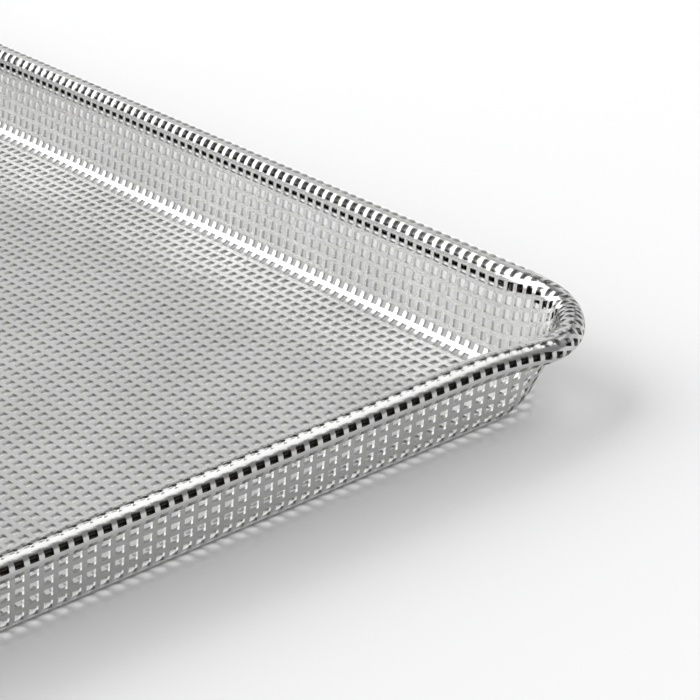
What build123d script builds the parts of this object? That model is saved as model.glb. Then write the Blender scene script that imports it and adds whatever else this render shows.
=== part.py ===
from build123d import *
from math import acos, cos, degrees, radians, sin, tan
import os

# A shallow bakery tray, drawn from one perforated aluminium sheet: a flat floor,
# four walls that lean outwards, rounded corners, and a rim rolled round a steel wire.
# The origin is under the middle of the floor, +X runs along the tray and +Z is up.
# The sheet is modelled in its formed shape without its perforation.

# Overall sizes, measured over the rolled rim
overall_length = 600.0
overall_width = 400.0
overall_height = 28.0

# Sheet
sheet_thickness = 0.8
wall_lean = 14.0
floor_bend_radius = 6.0
base_corner_radius = 24.0

# Rolled rim and the wire inside it
wire_diameter = 5.5
wire_clearance = 0.15
rim_corner_radius = 23.0
rim_strip_reach = 1.8
curl_gap = 0.3
wire_end_gap = 1.0

# Worked out from the sizes above
bead_radius = wire_diameter / 2 + wire_clearance + sheet_thickness
bead_height = overall_height - bead_radius
slope = tan(radians(wall_lean))
wall_thickness_level = sheet_thickness / cos(radians(wall_lean))
bead_offset = slope * (bead_height - sheet_thickness) + bead_radius / cos(radians(wall_lean))
base_half_length = overall_length / 2 - bead_radius - bead_offset
base_half_width = overall_width / 2 - bead_radius - bead_offset
strip_height = overall_height - 2 * bead_radius - rim_strip_reach
corner_x = base_half_length + bead_offset - rim_corner_radius
corner_y = base_half_width + bead_offset - rim_corner_radius


def wall_offset(height):
    """How far the inner face of a wall stands outside the floor's edge at a height."""
    return slope * (height - sheet_thickness)


def corner_radius(height):
    """Inside corner radius of the walls at a height: straight from the floor to the rim."""
    at_rim = wall_offset(strip_height) - bead_offset + rim_corner_radius
    share = (height - sheet_thickness) / (strip_height - sheet_thickness)
    return base_corner_radius + (at_rim - base_corner_radius) * share


def outline(height, grow):
    """Rounded rectangle of the walls at a height, grown outwards by a sheet's width."""
    out = wall_offset(height) + grow
    return Pos(0, 0, height) * RectangleRounded(
        2 * (base_half_length + out),
        2 * (base_half_width + out),
        corner_radius(height) + grow,
    )


def tub_solid(bottom, grow, bend_radius):
    """The space inside one face of the sheet, from the floor to the rim strip."""
    block = loft([outline(bottom, grow), outline(strip_height, grow)], ruled=True)
    return fillet(block.edges().group_by(Axis.Z)[0], bend_radius)


def make_tub():
    """Floor, bend and walls of the drawn sheet, up to the rim strip."""
    outside = tub_solid(0, wall_thickness_level, floor_bend_radius + sheet_thickness)
    inside = tub_solid(sheet_thickness, 0, floor_bend_radius)
    return outside - inside


def bead_point(radius, angle):
    """A point on a circle about the wire's centre, as distance outside the floor and height."""
    turn = radians(angle)
    return (bead_offset + radius * cos(turn), bead_height + radius * sin(turn))


def rim_section():
    """Cross-section of the rim: a strip of wall that rolls over and round the wire."""
    start = 180 - wall_lean
    lap = degrees(acos(1 - (sheet_thickness + curl_gap) / bead_radius))
    sweep_angle = 360 - lap
    end = start - sweep_angle
    inner_radius = bead_radius - sheet_thickness
    foot = wall_offset(strip_height)
    centre = (bead_offset, bead_height)
    edges = [
        Line((foot, strip_height), bead_point(bead_radius, start)),
        CenterArc(centre, bead_radius, start, -sweep_angle),
        Line(bead_point(bead_radius, end), bead_point(inner_radius, end)),
        CenterArc(centre, inner_radius, end, sweep_angle),
        Line(bead_point(inner_radius, start), (foot + wall_thickness_level, strip_height)),
        Line((foot + wall_thickness_level, strip_height), (foot, strip_height)),
    ]
    return make_face(Wire(edges))


def wire_section():
    """Cross-section of the rim wire."""
    return Pos(bead_offset, bead_height) * Circle(wire_diameter / 2)


def round_the_rim(section):
    """Carries a cross-section round the whole tray: four straight sides and four corners."""
    side_plane = Plane(origin=(base_half_length, 0, 0), x_dir=(1, 0, 0), z_dir=(0, -1, 0))
    at_middle = side_plane * section
    at_corner = Pos(0, corner_y, 0) * at_middle
    corner_axis = Axis((corner_x, corner_y, 0), (0, 0, 1))
    past_corner = at_corner.rotate(corner_axis, 90)
    quarter = (
        extrude(at_middle, amount=corner_y, dir=(0, 1, 0))
        + revolve(at_corner, axis=corner_axis, revolution_arc=90)
        + extrude(past_corner, amount=corner_x, dir=(-1, 0, 0))
    )
    half = quarter + mirror(quarter, about=Plane.YZ)
    return half + mirror(half, about=Plane.XZ)


def make_perforated_pan():
    """The whole drawn sheet: tub and rolled rim in one piece."""
    return make_tub() + round_the_rim(rim_section())


def make_rim_wire():
    """The steel wire in the rim, bent to the tray's outline with its ends butted."""
    ends = Box(wire_end_gap, 2 * wire_diameter, 2 * wire_diameter)
    gap = Pos(0, base_half_width + bead_offset, bead_height) * ends
    return round_the_rim(wire_section()) - gap


def main():
    os.makedirs("parts", exist_ok=True)
    export_step(make_perforated_pan(), "parts/perforated_pan.step")
    export_step(make_rim_wire(), "parts/rim_wire.step")


main()
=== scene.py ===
# %% [markdown]
# # A perforated baking tray with a wired rim
#
# The tray is one sheet of aluminium. It is punched all over with square holes while it
# is flat, drawn in a press to a floor with four low walls, and its edge is then rolled
# round a steel wire. This lesson makes it in the same order: a flat blank, the punching,
# the forming, the thickness, and last the finish of the metal.

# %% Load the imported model
from math import acos, cos, pi, radians, sin, tan

import bpy
import numpy as np
from mathutils import Matrix, Vector


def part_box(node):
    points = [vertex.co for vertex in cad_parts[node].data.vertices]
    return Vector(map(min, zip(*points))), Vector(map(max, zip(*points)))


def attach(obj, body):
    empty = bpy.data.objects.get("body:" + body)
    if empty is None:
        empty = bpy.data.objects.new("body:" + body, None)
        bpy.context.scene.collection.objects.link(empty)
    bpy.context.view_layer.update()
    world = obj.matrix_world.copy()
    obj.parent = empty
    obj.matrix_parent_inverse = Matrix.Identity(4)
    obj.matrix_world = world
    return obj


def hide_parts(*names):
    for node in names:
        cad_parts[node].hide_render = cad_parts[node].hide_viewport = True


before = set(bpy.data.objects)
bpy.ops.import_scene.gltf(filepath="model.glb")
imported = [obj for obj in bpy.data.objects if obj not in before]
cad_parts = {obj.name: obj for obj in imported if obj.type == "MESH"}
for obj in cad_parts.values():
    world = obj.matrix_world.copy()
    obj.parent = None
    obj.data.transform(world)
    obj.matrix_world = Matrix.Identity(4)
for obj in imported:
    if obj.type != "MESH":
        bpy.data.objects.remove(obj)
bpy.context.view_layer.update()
pan_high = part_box("perforated_pan")[1]

# %% [markdown]
# ## Sizes of the formed sheet
#
# A formed sheet is described by its bends. The walls lean out from the floor's edge line,
# a bend of one radius joins them to the floor, and the rim is one long arc about the wire.
# A box could be added and scaled to size instead, but bends worked out from a drawing keep
# the thickness of the metal right. The overall size comes from the loaded frame, so the
# piece lands where the CAD one is.

# %% Values for the drawing of the tray, in metres
sheet = 0.0008
wall_lean = radians(14)
floor_bend = 0.006
base_corner = 0.024
rim_corner = 0.023
wire_radius = 0.00275
wire_clearance = 0.00015
curl_gap = 0.0003

bead = wire_radius + wire_clearance + sheet
bead_height = pan_high.z - bead
slope = tan(wall_lean)
bead_offset = slope * (bead_height - sheet) + bead / cos(wall_lean)
base_half = np.array((pan_high.x - bead - bead_offset, pan_high.y - bead - bead_offset))
print(f"floor edge lines at {base_half[0]:.4f} and {base_half[1]:.4f} m")
print(f"bead {2 * bead * 1000:.1f} mm thick")

# %% [markdown]
# ## The wall unrolled
#
# To know where a punched hole ends up, the wall is unrolled: a distance past the floor's
# edge line on the flat blank becomes a place on the bend, then on the straight wall, then
# on the rolled bead. All of it is followed on the middle of the sheet's thickness, which
# keeps its length in a bend. Round the bead the sheet is squeezed, so an arc of the bead
# takes up a longer piece of the blank: its radius on the blank is the larger of the two.

# %% Lengths of the bend, the straight wall and the curl on the flat blank
bend_angle = pi / 2 - wall_lean
bend_middle = floor_bend + sheet / 2
bend_start = -floor_bend * tan(bend_angle / 2)
bend_length = bend_middle * bend_angle
wall_start = bend_start + bend_length

bead_middle = bead - sheet / 2
curl_start_angle = pi - wall_lean
curl_sweep = 2 * pi - acos(1 - (sheet + curl_gap) / bead)
bend_end_place = (
    bend_start + bend_middle * sin(bend_angle),
    sheet + floor_bend - bend_middle * cos(bend_angle),
)
curl_start_place = (
    bead_offset + bead_middle * cos(curl_start_angle),
    bead_height + bead_middle * sin(curl_start_angle),
)
wall_length = np.hypot(
    curl_start_place[0] - bend_end_place[0], curl_start_place[1] - bend_end_place[1]
)
curl_start = wall_start + wall_length
curl_flat_radius = 0.00407
blank_margin = curl_start + curl_flat_radius * curl_sweep
print(f"blank reaches {blank_margin * 1000:.1f} mm past the floor's edge line")


def section_place(reach):
    """Offset outside the floor's edge line and height, for distances on the flat blank."""
    bend_turn = np.clip((reach - bend_start) / bend_middle, 0, bend_angle)
    along_wall = np.clip((reach - wall_start) / wall_length, 0, 1)
    curl_turn = curl_start_angle - np.clip((reach - curl_start) / curl_flat_radius, 0, curl_sweep)
    on_bend = bend_start + bend_middle * np.sin(bend_turn)
    bend_rise = sheet + floor_bend - bend_middle * np.cos(bend_turn)
    on_wall = bend_end_place[0] + (curl_start_place[0] - bend_end_place[0]) * along_wall
    wall_rise = bend_end_place[1] + (curl_start_place[1] - bend_end_place[1]) * along_wall
    on_curl = bead_offset + bead_middle * np.cos(curl_turn)
    curl_rise = bead_height + bead_middle * np.sin(curl_turn)
    zones = [reach < bend_start, reach < wall_start, reach < curl_start]
    offset = np.select(zones, [reach, on_bend, on_wall], on_curl)
    height = np.select(zones, [sheet / 2 + 0 * reach, bend_rise, wall_rise], curl_rise)
    return offset, height


# %% [markdown]
# ## The corners
#
# In a rounded corner every level of the wall is a quarter circle. It comes from a longer
# curve on the flat blank, a quarter ellipse, because the press also draws metal in from the
# walls beside the corner, and from further off along the long walls. So the rows of holes
# climb before they reach the corner. Inside it the metal is squeezed along the rim: the
# holes turn into narrow leaning slits there, and the rolled corner looks braided.
#
# A lattice or a Simple Deform modifier could bend the sheet, but neither knows how far a
# hole has moved, so the corner is a formula. Its values were fitted to one corner and are
# repeated at the other three.

# %% Levels of a corner, on the flat blank and on the formed sheet
rim_strip_reach = 0.0018
strip_height = pan_high.z - 2 * bead - rim_strip_reach
drawn_from = np.array((-0.036, -0.021))
drawn_over = 0.020
search_span = 0.05
halvings = 40
print(f"the corners blend up to {strip_height * 1000:.1f} mm above the table")


def smooth_step(share):
    """0 to 1 with level ends."""
    share = np.clip(share, 0, 1)
    return share * share * (3 - 2 * share)


def corner_centre(height):
    """How far the centre of the formed corner circles is outside the floor's edge line."""
    share = np.clip((height - sheet) / (strip_height - sheet), 0, 1)
    return -base_corner + (bead_offset - rim_corner + base_corner) * share


def flat_centre(reach):
    """Centres of the quarter ellipses on the flat blank, which start as the floor's circle."""
    share = smooth_step((reach - bend_start) / drawn_over)[:, None]
    return -base_corner + (drawn_from + base_corner) * share


def reach_of(past):
    """Distance past the floor's edge line on the flat blank, and which points are in a corner.

    In a corner it is the size of the quarter ellipse through the point, found by halving.
    """
    straight = past.max(axis=1)
    in_corner = (past > flat_centre(straight)).all(axis=1)
    reach = straight.copy()
    low = straight[in_corner]
    high = low + search_span
    point = past[in_corner]
    for _ in range(halvings):
        middle = (low + high) / 2
        centre = flat_centre(middle)
        outside = (((point - centre) / (middle[:, None] - centre)) ** 2).sum(axis=1) > 1
        low = np.where(outside, middle, low)
        high = np.where(outside, high, middle)
    reach[in_corner] = low
    return reach, in_corner


# %% Along the long walls the edge reaches further round the wire
long_wall_stretch = 1.13
print(f"the rolled edge is stretched by {long_wall_stretch - 1:.0%} there")


def quarter_share(past, reach):
    """0 at the end wall's side of a corner and 1 at the long wall's side."""
    spread = (past - flat_centre(reach)) / (reach[:, None] - flat_centre(reach))
    return np.arctan2(spread[:, 1], spread[:, 0]) / (pi / 2)


def rolled_reach(flat):
    """Distance past the floor's edge line after the rolled edge has been stretched."""
    past = np.abs(flat[:, :2]) - base_half
    reach, in_corner = reach_of(past)
    on_long_wall = np.where(past[:, 1] > past[:, 0], 1.0, 0.0)
    on_long_wall[in_corner] = quarter_share(past[in_corner], reach[in_corner])
    return reach + np.maximum(reach - curl_start, 0) * (long_wall_stretch - 1) * on_long_wall


# %% From the flat blank to the formed sheet


def gathered_share(quarter, reach):
    """How much of the spare metal has been gathered, most of it halfway round the corner.

    It is gathered over a shorter stretch on the wall than at the edge under the wire,
    where there is so much more of it that it would fold over itself. The two ways are the
    running totals of a sine hump's fourth power and of its square.
    """
    one_wave = np.sin(2 * pi * quarter)
    two_waves = np.sin(4 * pi * quarter)
    on_wall = quarter - (8 * one_wave - two_waves) / (12 * pi)
    at_edge = quarter - one_wave / (2 * pi)
    rolled = np.clip((reach - curl_start) / (blank_margin - curl_start), 0, 1)
    return on_wall + (at_edge - on_wall) * rolled


def round_the_corner(past, reach, offset, height):
    """Formed places in a corner, found by their length along the line of their level.

    The length of the quarter ellipse is Ramanujan's approximation. The length up to a
    point is a cubic that leaves both ends at the pace of the ellipse there.
    """
    centre = corner_centre(height)
    radius = offset - centre
    arc = radius * pi / 2
    straight = centre[:, None] - flat_centre(reach)
    formed_length = straight.sum(axis=1) + arc
    long_axis, end_axis = (reach[:, None] - flat_centre(reach)).T
    both = (3 * long_axis + end_axis) * (long_axis + 3 * end_axis)
    flat_length = pi / 4 * (3 * (long_axis + end_axis) - np.sqrt(both))
    quarter = quarter_share(past, reach)
    along = flat_length * smooth_step(quarter)
    along += end_axis * pi / 2 * quarter * (1 - quarter) ** 2
    along += long_axis * pi / 2 * quarter ** 2 * (quarter - 1)
    along -= (flat_length - formed_length) * gathered_share(quarter, reach)
    turn = np.clip((along - straight[:, 1]) / radius, 0, pi / 2)
    before = np.maximum(straight[:, 1] - along, 0)
    after = np.maximum(along - straight[:, 1] - arc, 0)
    return np.column_stack(
        [centre + radius * np.cos(turn) - after, centre + radius * np.sin(turn) - before]
    )


def press(flat):
    """The formed places of points on the flat blank."""
    side = np.where(flat[:, :2] < 0, -1.0, 1.0)
    past = np.abs(flat[:, :2]) - base_half
    reach, in_corner = reach_of(past)
    offset, height = section_place(np.minimum(rolled_reach(flat), blank_margin))
    along_x = past[:, 0] >= past[:, 1]
    formed = past.copy()
    formed[:, 0] = np.where(along_x, offset, past[:, 0])
    formed[:, 1] = np.where(along_x, past[:, 1], offset)
    formed[in_corner] = round_the_corner(
        past[in_corner], reach[in_corner], offset[in_corner], height[in_corner]
    )
    plan = side * (formed + base_half)
    return np.column_stack([plan, height])


wall_spot = press(np.array([[base_half[0] + wall_start, 0, 0]]))[0]
print("the end wall's straight part starts at", [round(float(place), 4) for place in wall_spot])

# %% [markdown]
# ## The dip of the rim at the corners
#
# The rim is a few millimetres lower at a corner than along its straight runs, sheet and
# wire together, and lowest about a third of the way round from the end wall. The floor
# stays flat, and the wall takes up the difference. Proportional editing could pull a corner
# down by hand, but one function lowers the sheet and the wire alike.

# %% Lower the walls and rim at the corners
corner_dip = 0.0032
lowest_turn = radians(32)
dip_on_end_wall = 0.024
dip_on_long_wall = 0.009
print(f"the rim is up to {corner_dip * 1000:.1f} mm lower at the corners")


def dip_corners(places):
    """The same points, lower where they are high up in a corner."""
    outside = np.abs(places[:, :2]) - base_half - corner_centre(places[:, 2])[:, None]
    turn = np.arctan2(np.maximum(outside[:, 1], 0), np.maximum(outside[:, 0], 0))
    straight = np.minimum(outside[:, 1], 0) - np.minimum(outside[:, 0], 0)
    along = rim_corner * (turn - lowest_turn) + straight
    to_end_wall = rim_corner * lowest_turn + dip_on_end_wall
    to_long_wall = rim_corner * (pi / 2 - lowest_turn) + dip_on_long_wall
    share = smooth_step(1 - np.where(along < 0, -along / to_end_wall, along / to_long_wall))
    height_share = np.clip((places[:, 2] - sheet) / (bead_height - sheet), 0, 1)
    dipped = places.copy()
    dipped[:, 2] -= corner_dip * share * height_share
    return dipped


# %% [markdown]
# ## The blank
#
# The blank starts as a grid whose lines are the edges of the holes, so a cell is a hole, a
# bar beside a hole or a crossing of bars. A grid primitive has equal cells, so its lines
# are then moved to the hole edges. Holes could also be cut with a Boolean modifier, but
# with thousands of them that is slow and leaves long thin faces. The punch pattern is
# square, and it isn't centred on the tray.

# %% Lines of the punch pattern
pitch = 0.004
hole = 0.0025
steps_to_a_hole = np.array((13.25, 20.5))
pattern_start = base_half - steps_to_a_hole * pitch
edge_margin = 0.0004


def pattern_lines(half, start):
    """Edges of the holes along one direction of the blank, with the blank's own two ends."""
    end = half + blank_margin
    first = int(np.floor((-end - start) / pitch))
    last = int(np.ceil((end - start) / pitch))
    centres = start + pitch * np.arange(first, last + 1)
    edges = np.sort(np.concatenate([centres - hole / 2, centres + hole / 2]))
    edges = edges[np.abs(edges) < end - edge_margin]
    return np.concatenate([[-end], edges, [end]])


lines = [pattern_lines(half, start) for half, start in zip(base_half, pattern_start)]
print("cells on the blank:", [len(line) - 1 for line in lines])

# %% Make the grid and move its lines to the hole edges


def deselect_all():
    """Nothing is selected, so the next operator acts on the new piece alone."""
    for thing in bpy.context.selected_objects:
        thing.select_set(False)


def points_of(piece):
    """The vertices of a mesh piece as an array."""
    places = np.zeros(len(piece.data.vertices) * 3)
    piece.data.vertices.foreach_get("co", places)
    return places.reshape(-1, 3)


def place_points(piece, places):
    """Moves the vertices of a mesh piece."""
    piece.data.vertices.foreach_set("co", np.ascontiguousarray(places).ravel())
    piece.data.update()


deselect_all()
cells = [len(line) - 1 for line in lines]
bpy.ops.mesh.primitive_grid_add(x_subdivisions=cells[0], y_subdivisions=cells[1], size=1)
blank = bpy.context.active_object
blank.name = "perforated_sheet"
flat = points_of(blank)
columns = [np.rint((flat[:, k] + 0.5) * cells[k]).astype(int) for k in (0, 1)]
for k in (0, 1):
    flat[:, k] = lines[k][columns[k]]
place_points(blank, flat)
print("blank:", len(blank.data.polygons), "cells,", blank.dimensions[:])

# %% [markdown]
# ## Punching
#
# A hole is a cell whose middle lies on a hole in both directions. Such cells are selected
# by their place and deleted, as a punch takes them out of the sheet. Cells past the end
# of the rolled edge are trimmed off with them.

# %% Select the holes by their place and delete them


def face_middles(piece):
    """The middle of each face of a mesh piece."""
    places = np.zeros(len(piece.data.polygons) * 3)
    piece.data.polygons.foreach_get("center", places)
    return places.reshape(-1, 3)


def edit_faces(piece, chosen):
    """Opens a piece in edit mode with only the chosen faces selected."""
    bpy.context.view_layer.objects.active = piece
    bpy.ops.object.mode_set(mode="EDIT")
    bpy.ops.mesh.select_mode(type="FACE")
    bpy.ops.mesh.select_all(action="DESELECT")
    bpy.ops.object.mode_set(mode="OBJECT")
    piece.data.polygons.foreach_set("select", chosen)
    bpy.ops.object.mode_set(mode="EDIT")


def on_hole(middles, k):
    """Whether face middles lie within the width of a hole along one direction."""
    steps = (middles[:, k] - pattern_start[k]) / pitch
    inside = np.abs(steps - np.rint(steps)) * pitch < hole / 2
    return inside & (np.abs(middles[:, k]) < lines[k][-2])


middles = face_middles(blank)
reach = rolled_reach(middles)
punched = (on_hole(middles, 0) & on_hole(middles, 1)) | (reach > blank_margin)
edit_faces(blank, punched)
bpy.ops.mesh.delete(type="FACE")
bpy.ops.object.mode_set(mode="OBJECT")
print("faces left after punching:", len(blank.data.polygons))

# %% [markdown]
# ## Forming
#
# Bars that will be bent need more points than flat ones, so the cells of the bend and of
# the rolled bead are subdivided once. Then every point is moved to its formed place. A
# lattice of this many holes can't be bent by hand, so this one step is worked out in code.

# %% Subdivide the cells that bend, then press the blank
out_of_sight = (radians(215), radians(245))


def rolled_in_shade_share(flat):
    """0 on the open faces and 1 where the edge has gone under the wire, out of sight: how much
    painted shade the sheet gets there.
    """
    turned = (rolled_reach(flat) - curl_start) / curl_flat_radius
    return np.clip((turned - out_of_sight[0]) / (out_of_sight[1] - out_of_sight[0]), 0, 1)


middles = face_middles(blank)
reach = rolled_reach(middles)
cell_reach = pitch / 2
in_bend = (reach > bend_start - cell_reach) & (reach < wall_start + cell_reach)
in_curl = reach > curl_start - cell_reach
edit_faces(blank, in_bend | in_curl)
bpy.ops.mesh.subdivide(number_cuts=1)
bpy.ops.object.mode_set(mode="OBJECT")
flat = points_of(blank)
# Where the edge is rolled in, the share of painted shade is kept for each point before the press.
rolled_in_shade_mask = rolled_in_shade_share(flat)
place_points(blank, dip_corners(press(flat)))
blank.data.attributes.new("rolled_in_shade_mask", "FLOAT", "POINT").data.foreach_set("value", rolled_in_shade_mask)
print("formed sheet:", len(blank.data.polygons), "faces")
print("its sides:", [round(side, 4) for side in blank.dimensions])

# %% [markdown]
# ## Thickness
#
# The sheet has been one surface in the middle of the metal. It is parted into four
# quarters so that no mesh is too heavy, and Solidify gives each its thickness, half of it
# on each side, with the walls of the holes between. Extruding every face by hand would
# give the same, but the modifier does it in one step.

# %% Part the sheet into quarters and give it its thickness
seams = [line[np.argmin(np.abs(line))] for line in lines]
smooth_angle = radians(40)
sheet_merge = 0.00002
print("parted along", [round(float(seam), 4) for seam in seams])


def separate_faces(piece, chosen):
    """Moves the chosen faces of a piece to a new piece, and returns it."""
    edit_faces(piece, chosen)
    bpy.ops.mesh.separate(type="SELECTED")
    bpy.ops.object.mode_set(mode="OBJECT")
    new = [thing for thing in bpy.context.selected_objects if thing != piece][0]
    deselect_all()
    return new


deselect_all()
blank.select_set(True)
right = separate_faces(blank, face_middles(blank)[:, 0] > seams[0])
quarters = []
for half in (blank, right):
    half.select_set(True)
    quarters.append(separate_faces(half, face_middles(half)[:, 1] > seams[1]))
    quarters.append(half)

quarter_names = ("pan_left_far", "pan_left_near", "pan_right_far", "pan_right_near")
for quarter, name in zip(quarters, quarter_names):
    quarter.name = name
    bpy.context.view_layer.objects.active = quarter
    quarter.select_set(True)
    bpy.ops.object.mode_set(mode="EDIT")
    bpy.ops.mesh.select_all(action="SELECT")
    bpy.ops.mesh.remove_doubles(threshold=sheet_merge)
    bpy.ops.object.mode_set(mode="OBJECT")
    thickness = quarter.modifiers.new("sheet thickness", "SOLIDIFY")
    thickness.thickness = sheet
    thickness.offset = 0
    bpy.ops.object.modifier_apply(modifier=thickness.name)
    bpy.ops.object.shade_smooth_by_angle(angle=smooth_angle)
    deselect_all()
    quarter.data.calc_loop_triangles()
    print(name, len(quarter.data.loop_triangles), "triangles")

# %% [markdown]
# ## Satin aluminium
#
# Rolled aluminium is a soft mirror. A fine grain runs along the rolling direction, and
# handling leaves faint dull patches. The grain is a noise stretched along one axis, used
# as a small bump, and the patches change the colour and the roughness a little. It could
# be an image of brushed metal, but noise has no edges and no repeats. Both effects are
# node groups, because the wire's steel uses them too, with its own values.

# %% Node groups shared by the metals


def new_group(name, inputs, outputs):
    """A shader node group with float inputs and named outputs."""
    group = bpy.data.node_groups.new(name, "ShaderNodeTree")
    for label, value in inputs.items():
        socket = group.interface.new_socket(label, in_out="INPUT", socket_type="NodeSocketFloat")
        socket.default_value = value
    for label in outputs:
        group.interface.new_socket(label, in_out="OUTPUT", socket_type="NodeSocketFloat")
    return group, group.nodes.new("NodeGroupInput"), group.nodes.new("NodeGroupOutput")


def metal_grain_group():
    """Fine lines along X, as rollers or a drawing die leave them."""
    group, given, result = new_group(
        "metal grain", {"Lines per metre": 2500.0, "Stretch": 0.05}, ["Height"]
    )
    coordinates = group.nodes.new("ShaderNodeTexCoord")
    squeeze = group.nodes.new("ShaderNodeCombineXYZ")
    squeeze.inputs["Y"].default_value = 1.0
    squeeze.inputs["Z"].default_value = 1.0
    group.links.new(given.outputs["Stretch"], squeeze.inputs["X"])
    stretched = group.nodes.new("ShaderNodeVectorMath")
    stretched.operation = "MULTIPLY"
    group.links.new(coordinates.outputs["Object"], stretched.inputs[0])
    group.links.new(squeeze.outputs["Vector"], stretched.inputs[1])
    lines_noise = group.nodes.new("ShaderNodeTexNoise")
    lines_noise.inputs["Detail"].default_value = 3.0
    group.links.new(stretched.outputs["Vector"], lines_noise.inputs["Vector"])
    group.links.new(given.outputs["Lines per metre"], lines_noise.inputs["Scale"])
    group.links.new(lines_noise.outputs["Fac"], result.inputs["Height"])
    return group


def handling_group():
    """Soft patches, from 0 to 1, where handling has dulled the metal."""
    group, given, result = new_group("handling marks", {"Patches per metre": 18.0}, ["Mask"])
    coordinates = group.nodes.new("ShaderNodeTexCoord")
    patches = group.nodes.new("ShaderNodeTexNoise")
    patches.inputs["Detail"].default_value = 5.0
    patches.inputs["Roughness"].default_value = 0.6
    group.links.new(coordinates.outputs["Object"], patches.inputs["Vector"])
    group.links.new(given.outputs["Patches per metre"], patches.inputs["Scale"])
    spread = group.nodes.new("ShaderNodeMapRange")
    spread.inputs["From Min"].default_value = 0.38
    spread.inputs["From Max"].default_value = 0.66
    group.links.new(patches.outputs["Fac"], spread.inputs["Value"])
    group.links.new(spread.outputs["Result"], result.inputs["Mask"])
    return group


grain = metal_grain_group()
handling = handling_group()
print("node groups:", grain.name, "and", handling.name)

# %% A metal with grain and handling marks
mix_first, mix_second, mix_result = 6, 7, 2  # places of a Mix node's colour sockets
relief_depth = 0.0001


def metal(name, clean, dull, roughness, lines_per_metre, stretch, bump):
    """A metal with grain, and duller and rougher patches where it has been handled."""
    material = bpy.data.materials.new(name)
    material.use_nodes = True
    nodes, links = material.node_tree.nodes, material.node_tree.links
    surface = nodes["Principled BSDF"]
    surface.inputs["Metallic"].default_value = 1.0
    marks = nodes.new("ShaderNodeGroup")
    marks.node_tree = handling
    tint = nodes.new("ShaderNodeMix")
    tint.data_type = "RGBA"
    tint.inputs[mix_first].default_value = (*clean, 1)
    tint.inputs[mix_second].default_value = (*dull, 1)
    links.new(marks.outputs["Mask"], tint.inputs["Factor"])
    links.new(tint.outputs[mix_result], surface.inputs["Base Color"])
    lines_of = nodes.new("ShaderNodeGroup")
    lines_of.node_tree = grain
    lines_of.inputs["Lines per metre"].default_value = lines_per_metre
    lines_of.inputs["Stretch"].default_value = stretch
    rough = nodes.new("ShaderNodeMapRange")
    rough.inputs["To Min"].default_value = roughness[0]
    rough.inputs["To Max"].default_value = roughness[1]
    links.new(marks.outputs["Mask"], rough.inputs["Value"])
    links.new(rough.outputs["Result"], surface.inputs["Roughness"])
    relief = nodes.new("ShaderNodeBump")
    relief.inputs["Strength"].default_value = bump
    relief.inputs["Distance"].default_value = relief_depth
    links.new(lines_of.outputs["Height"], relief.inputs["Height"])
    links.new(relief.outputs["Normal"], surface.inputs["Normal"])
    return material


def paint_shade(material, mask, colour):
    """Mixes a dark colour into a metal's base colour where a mask output is 1: painted shade."""
    nodes, links = material.node_tree.nodes, material.node_tree.links
    base = nodes["Principled BSDF"].inputs["Base Color"]
    layer = nodes.new("ShaderNodeMix")
    layer.data_type = "RGBA"
    layer.inputs[mix_second].default_value = (*colour, 1)
    links.new(base.links[0].from_socket, layer.inputs[mix_first])
    links.new(mask, layer.inputs["Factor"])
    links.new(layer.outputs[mix_result], base)


# %% [markdown]
# ## Painted shade in the rim
#
# The holes on top of the rim hardly show, and the ones on its side look black. Why that is so
# isn't known. It is made here with painted shade: a wire that is painted bright on top and dark
# lower down, and a sheet that is painted nearly black where its edge is rolled in under the wire.
# A second material on the dark faces would leave a hard line, so a value stored at each point
# fades the colour.

# %% Satin aluminium, with painted shade where its edge is rolled in under the wire
rolled_in_shade_colour = (0.03, 0.028, 0.025)
aluminium = metal(
    "satin aluminium",
    clean=(0.61, 0.61, 0.605),
    dull=(0.54, 0.54, 0.535),
    roughness=(0.20, 0.27),
    lines_per_metre=2500,
    stretch=0.05,
    bump=0.25,
)
# Painted shade: the sheet is painted nearly black where its edge is rolled in under the wire.
rolled_in_shade_node = aluminium.node_tree.nodes.new("ShaderNodeAttribute")
rolled_in_shade_node.attribute_name = "rolled_in_shade_mask"
paint_shade(aluminium, rolled_in_shade_node.outputs["Fac"], rolled_in_shade_colour)
print(aluminium.name, "has", len(aluminium.node_tree.nodes), "nodes")

# %% Drawn steel, with painted shade on the lower part of the wire
wire_shade_colour = (0.03, 0.027, 0.025)
bright_above = 0.60
dark_below = 0.36
wire_steel = metal(
    "drawn steel wire",
    clean=(0.80, 0.80, 0.79),
    dull=(0.70, 0.70, 0.69),
    roughness=(0.18, 0.28),
    lines_per_metre=1800,
    stretch=0.08,
    bump=0.3,
)
# Painted shade: the wire keeps its bright steel colour on top and is painted nearly black lower
# down on its round, where shade falls inside the rim.
wire_nodes = wire_steel.node_tree.nodes
height_on_wire = wire_nodes.new("ShaderNodeAttribute")
height_on_wire.attribute_name = "height_on_wire"
wire_shade_ramp = wire_nodes.new("ShaderNodeMapRange")
wire_shade_ramp.inputs["From Min"].default_value = bright_above
wire_shade_ramp.inputs["From Max"].default_value = dark_below
wire_steel.node_tree.links.new(height_on_wire.outputs["Fac"], wire_shade_ramp.inputs["Value"])
paint_shade(wire_steel, wire_shade_ramp.outputs["Result"], wire_shade_colour)
print(wire_steel.name, "has", len(wire_steel.node_tree.nodes), "nodes")

# %% [markdown]
# ## The sheet in the model
#
# On the real tray the sheet is one piece. Its four quarters here stand for it together:
# each takes its finish, rides on the tray's only body, and replaces the CAD sheet. They
# could be joined again, but one mesh of that size would be thinned in its STL file.

# %% Body and finish of the four quarters
for quarter in quarters:
    quarter.data.materials.append(aluminium)
    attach(quarter, "root")
    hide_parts("perforated_pan")
print("sheet:", [quarter.name for quarter in quarters])

# %% [markdown]
# ## The wire
#
# The wire is bent to a rounded rectangle, with its ends meeting on one side. A curve with a
# round bevel could make it, but a copy of the CAD wire has its size already. Its loose
# triangles are merged, and it takes the same dip at the corners as the rim around it. Its
# straight runs have no points between the corners, so they are cut every few millimetres
# where the dip begins, or the whole run would sink with its ends.

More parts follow.
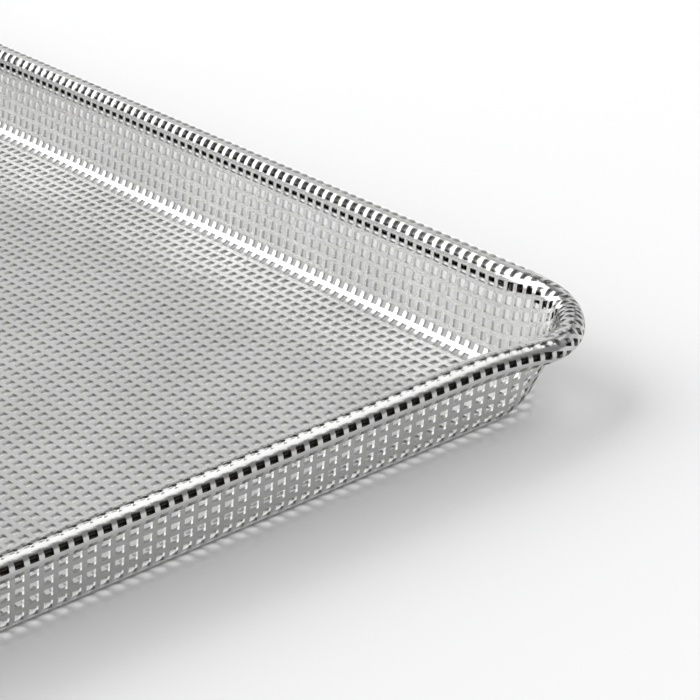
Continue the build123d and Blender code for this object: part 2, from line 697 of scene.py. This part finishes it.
# %% Copy the CAD wire and cut it where it dips
wire_cut = 0.003
wire_merge = 0.00001
cad_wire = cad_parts["rim_wire"]
wire = bpy.data.objects.new("rim_wire_in_bead", cad_wire.data.copy())
bpy.context.scene.collection.objects.link(wire)
bpy.context.view_layer.objects.active = wire
wire.select_set(True)
bpy.ops.object.mode_set(mode="EDIT")
bpy.ops.mesh.select_all(action="SELECT")
bpy.ops.mesh.remove_doubles(threshold=wire_merge)
bpy.ops.mesh.normals_make_consistent(inside=False)
corner_start = [half + bead_offset - rim_corner for half in base_half]
for axis, dip_run in ((0, dip_on_long_wall), (1, dip_on_end_wall)):
    for back in np.arange(0, dip_run + wire_cut, wire_cut):
        for side in (-1, 1):
            cut = Vector((0, 0, 0))
            cut[axis] = side * (corner_start[axis] - back)
            bpy.ops.mesh.select_all(action="SELECT")
            bpy.ops.mesh.bisect(plane_co=cut, plane_no=cut.normalized())
bpy.ops.object.mode_set(mode="OBJECT")
bpy.ops.object.shade_smooth_by_angle(angle=smooth_angle)
print("wire:", len(wire.data.polygons), "faces")

# %% [markdown]
# The painted shade on the wire needs to know how high a point is on the wire itself. That height
# is stored before the dip, because the dipped corners would be painted dark all over by their
# height above the table.

# %% Store the height on the wire for its painted shade, lower its corners, and give it its finish
wire_points = points_of(wire)
heights = (wire_points[:, 2] - bead_height) / wire_radius
wire.data.attributes.new("height_on_wire", "FLOAT", "POINT").data.foreach_set("value", heights)
place_points(wire, dip_corners(wire_points))
wire.data.materials.clear()
wire.data.materials.append(wire_steel)
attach(wire, "root")
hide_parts("rim_wire")
print("piece:", wire.name, "from", round(float(wire_points[:, 2].min()), 4), "m up before the dip")

# %% [markdown]
# ## Floor, light and camera
#
# Satin metal shows what it mirrors, so small lamps would leave hard spots on it, and large
# soft panels are used: a big key from the left, which lights the table as well, and four
# smaller panels beyond the far side, over the back, behind the tray and at its near side.
# The world is a weak fill, and only the camera sees it as a pale backdrop. The camera looks
# down across one corner with a long lens.

# %% A pale floor
floor_side = 12
floor_grey = 0.92
deselect_all()
bpy.ops.mesh.primitive_plane_add(size=floor_side, location=(0, 0, 0))
studio_floor = bpy.context.active_object
studio_floor.name = "studio_floor"
floor_finish = bpy.data.materials.new("pale floor")
floor_finish.use_nodes = True
floor_surface = floor_finish.node_tree.nodes["Principled BSDF"]
floor_surface.inputs["Base Color"].default_value = (floor_grey, floor_grey, floor_grey, 1)
floor_surface.inputs["Roughness"].default_value = 0.9
studio_floor.data.materials.append(floor_finish)
print("floor:", studio_floor.dimensions[:2])

# %% Soft light


def soft_light(name, towards, distance, width, height, power):
    """A rectangular area light in a direction from the tray, pointing at it."""
    lamp = bpy.data.lights.new(name, "AREA")
    lamp.shape = "RECTANGLE"
    lamp.size = width
    lamp.size_y = height
    lamp.energy = power
    holder = bpy.data.objects.new(name, lamp)
    holder.location = distance * Vector(towards).normalized()
    holder.rotation_euler = Vector(towards).to_track_quat("Z", "Y").to_euler()
    bpy.context.scene.collection.objects.link(holder)
    print(f"{name}: {width} x {height} m, {power} W, {distance} m away")


soft_light("key_from_left", (-0.66, -0.48, 0.60), 4.5, 5.2, 5.2, 250)
soft_light("panel_far_side", (-0.76, 0.47, 0.42), 1.9, 2.3, 1.4, 6.1)
soft_light("panel_over_back", (0.30, 0.55, 0.80), 2.1, 2.0, 1.3, 11.5)
soft_light("panel_behind", (-0.10, 0.95, 0.22), 2.2, 2.4, 0.9, 3.5)
soft_light("panel_near_side", (0.70, -0.62, 0.30), 2.4, 2.4, 1.2, 7.5)

# %% A weak fill that the camera sees as a pale backdrop
fill_strength = 0.3
backdrop_strength = 0.88
studio = bpy.data.worlds.new("studio")
studio.use_nodes = True
studio_nodes, studio_links = studio.node_tree.nodes, studio.node_tree.links
ray_kind = studio_nodes.new("ShaderNodeLightPath")
backdrop = studio_nodes.new("ShaderNodeMapRange")
backdrop.inputs["To Min"].default_value = fill_strength
backdrop.inputs["To Max"].default_value = backdrop_strength
studio_links.new(ray_kind.outputs["Is Camera Ray"], backdrop.inputs["Value"])
background = studio_nodes["Background"]
background.inputs["Color"].default_value = (1, 1, 1, 1)
studio_links.new(backdrop.outputs["Result"], background.inputs["Strength"])
bpy.context.scene.world = studio
bpy.context.scene.view_settings.view_transform = "Standard"
print("world:", studio.name)

# %% Camera
view_turn = radians(-35.48)
view_rise = radians(25.30)
view_roll = radians(-4.52)
view_distance = 0.7008
aim_inside = (0.0310, 0.0683)
aim = Vector((pan_high.x - aim_inside[0], pan_high.y - aim_inside[1], pan_high.z))
towards_camera = Vector(
    (cos(view_rise) * cos(view_turn), cos(view_rise) * sin(view_turn), sin(view_rise))
)
lens = bpy.data.cameras.new("camera")
lens.sensor_width = 36
lens.lens = 139.1
lens.clip_end = 50
camera = bpy.data.objects.new("camera", lens)
level = (-towards_camera).to_track_quat("-Z", "Y").to_matrix()
roll = Matrix.Rotation(view_roll, 3, "Z")
camera_place = Matrix.Translation(aim + view_distance * towards_camera)
camera.matrix_world = camera_place @ (level @ roll).to_4x4()
bpy.context.scene.collection.objects.link(camera)
bpy.context.scene.camera = camera
print("camera at", [round(c, 4) for c in camera.matrix_world.translation])
